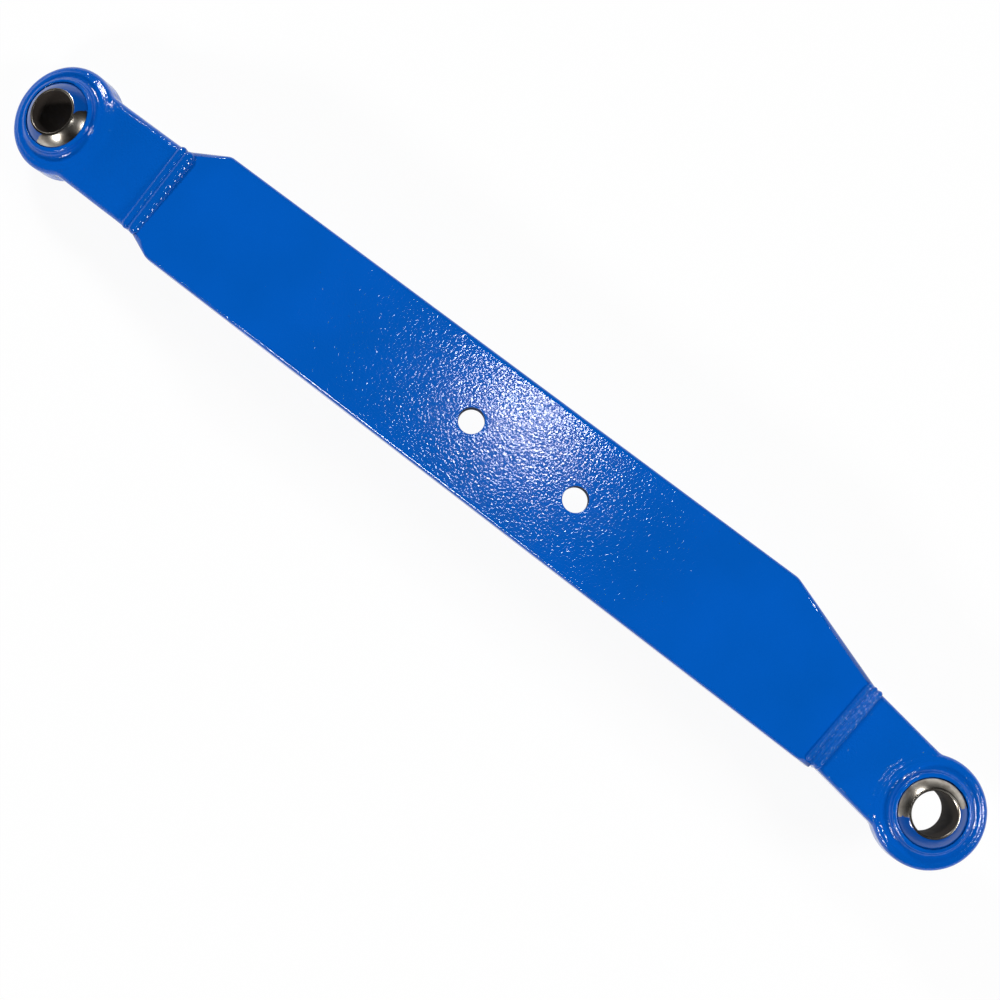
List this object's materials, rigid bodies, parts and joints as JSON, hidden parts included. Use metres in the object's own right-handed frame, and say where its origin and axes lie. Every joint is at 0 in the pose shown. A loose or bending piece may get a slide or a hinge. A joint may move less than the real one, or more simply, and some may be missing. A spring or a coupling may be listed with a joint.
{
  "type": "tractor lower link",
  "caption": "Flat steel lower hitch arm for a tractor, with a welded-on forged eye and a swivelling pin ball at each end.",
  "frame": {"origin": "centre of the front ball, in the middle of its pin bore", "axes": "+X along the arm from the front ball towards the rear ball, +Y across the arm's width to its left edge, +Z out of the arm's upper face, away from the side to which the front end drops"},
  "size_m": [0.7776, 0.1052, 0.0808],
  "materials": {
    "blue_enamel": "gloss",
    "ball_steel": "satin"
  },
  "bodies": {
    "arm": {"arm_bar": "blue_enamel", "front_ball_end": "blue_enamel", "rear_ball_end": "blue_enamel", "front_weld_top": "blue_enamel", "front_weld_bottom": "blue_enamel", "front_weld_left": "blue_enamel", "front_weld_right": "blue_enamel", "rear_weld_top": "blue_enamel", "rear_weld_bottom": "blue_enamel", "rear_weld_left": "blue_enamel", "rear_weld_right": "blue_enamel"},
    "front_ball": {"front_ball": "ball_steel"},
    "rear_ball": {"rear_ball": "ball_steel"}
  },
  "joints": [
    {"name": "front_ball_swivel", "type": "hinge", "parent": "arm", "child": "front_ball", "pos_m": [0, 0, 0], "axis": [-0.0045, 0.9968, 0.0804], "range_deg": [-20, 20]},
    {"name": "rear_ball_swivel", "type": "hinge", "parent": "arm", "child": "rear_ball", "pos_m": [0.70388, -0.02163, 0.03165], "axis": [0.1392, 0.9903, 0], "range_deg": [-20, 20]}
  ]
}
